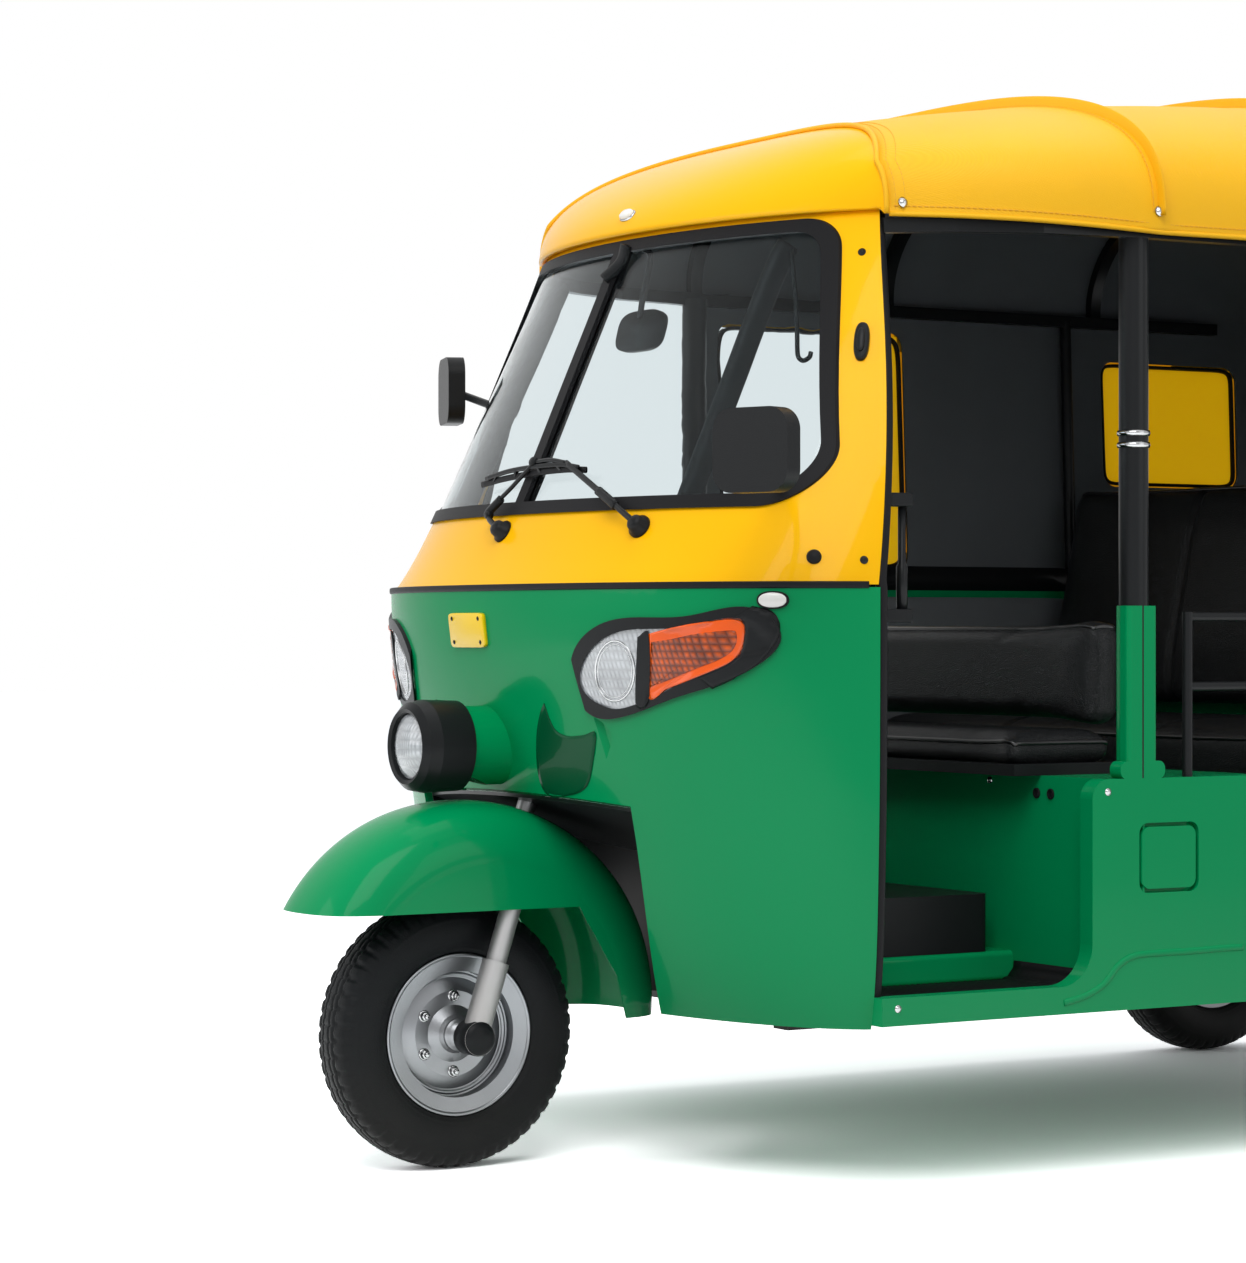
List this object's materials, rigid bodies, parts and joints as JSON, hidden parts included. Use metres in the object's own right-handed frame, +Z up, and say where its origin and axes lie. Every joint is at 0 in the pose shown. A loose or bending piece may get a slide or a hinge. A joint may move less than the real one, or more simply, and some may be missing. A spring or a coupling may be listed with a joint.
{
  "type": "auto rickshaw",
  "caption": "Three-wheeled auto rickshaw with a steel cab and tub, a vinyl hood, a steered front wheel, driver's and passengers' benches and an engine behind.",
  "frame": {"origin": "ground point under the middle of the vehicle's length and width", "axes": "+Z up, the vehicle faces -Y, its left side is +X"},
  "size_m": [1.5906, 2.5999, 1.7092],
  "materials": {
    "green_paint": "gloss",
    "yellow_paint": "gloss",
    "black_paint": "satin",
    "grey_steel": "satin",
    "silver_paint": "satin",
    "canvas": "matt",
    "dark_lining": "matt",
    "seat_vinyl": "satin",
    "black_plastic": "satin",
    "black_rubber": "matt",
    "tyre_rubber": "matt",
    "clear_glass": "clear",
    "clear_lens": "gloss",
    "amber_lens": "gloss",
    "red_lens": "gloss",
    "engine_metal": "rough"
  },
  "bodies": {
    "body": {"chassis_frame": "black_paint", "floor_pan": "green_paint", "wheel_arch": "black_paint", "cab_lower": "green_paint", "cab_upper": "yellow_paint", "roof_cap": "yellow_paint", "windscreen": "clear_glass", "screen_rubber": "black_rubber", "headlamp_bezel": "black_plastic", "headlamp_lens": "clear_lens", "lamp_bezels": "black_plastic", "lamp_clear": "clear_lens", "lamp_amber": "amber_lens", "mirror_left": "black_plastic", "mirror_right": "black_plastic", "dashboard": "black_plastic", "head_tube": "black_paint", "side_left": "green_paint", "side_right": "green_paint", "side_guard": "black_paint", "floor_locker": "black_plastic", "driver_box": "green_paint", "driver_seat_base": "black_plastic", "driver_cushion": "seat_vinyl", "driver_bolster": "seat_vinyl", "passenger_box": "green_paint", "passenger_cushion": "seat_vinyl", "passenger_backrest": "seat_vinyl", "rear_deck": "green_paint", "rear_panel": "green_paint", "tail_lamps": "red_lens", "rear_bumper": "black_paint", "hood_frame": "black_paint", "hood_lining": "dark_lining", "hood_canvas": "canvas", "engine": "engine_metal", "silencer": "grey_steel", "drive_shafts": "grey_steel", "trailing_arms": "black_paint", "dampers": "grey_steel"},
    "steering": {"fork": "grey_steel", "front_axle": "grey_steel", "front_fender": "green_paint", "handlebar": "black_paint"},
    "front_wheel": {"front_tyre": "tyre_rubber", "front_rim": "silver_paint"},
    "rear_wheel_left": {"rear_tyre_left": "tyre_rubber", "rear_rim_left": "silver_paint"},
    "rear_wheel_right": {"rear_tyre_right": "tyre_rubber", "rear_rim_right": "silver_paint"},
    "engine_hatch": {"rear_hatch": "green_paint"},
    "filler_flap": {"fuel_flap": "green_paint"}
  },
  "joints": [
    {"name": "steering", "type": "hinge", "parent": "body", "child": "steering", "pos_m": [0, -1.015, 0.2075], "axis": [0, 0.309, 0.9511], "range_deg": [-40, 40]},
    {"name": "front_wheel_spin", "type": "hinge", "parent": "steering", "child": "front_wheel", "pos_m": [0, -1.045, 0.2075], "axis": [1, 0, 0], "continuous": true},
    {"name": "rear_left_wheel_spin", "type": "hinge", "parent": "body", "child": "rear_wheel_left", "pos_m": [0.575, 0.955, 0.2075], "axis": [1, 0, 0], "continuous": true},
    {"name": "rear_right_wheel_spin", "type": "hinge", "parent": "body", "child": "rear_wheel_right", "pos_m": [-0.575, 0.955, 0.2075], "axis": [1, 0, 0], "continuous": true},
    {"name": "engine_hatch_hinge", "type": "hinge", "parent": "body", "child": "engine_hatch", "pos_m": [0, 1.25002, 0.79502], "axis": [1, 0, 0], "range_deg": [0, 80]},
    {"name": "filler_flap_hinge", "type": "hinge", "parent": "body", "child": "filler_flap", "pos_m": [0.64402, -0.19303, 0.484], "axis": [0, 0, -1], "range_deg": [0, 100]}
  ]
}
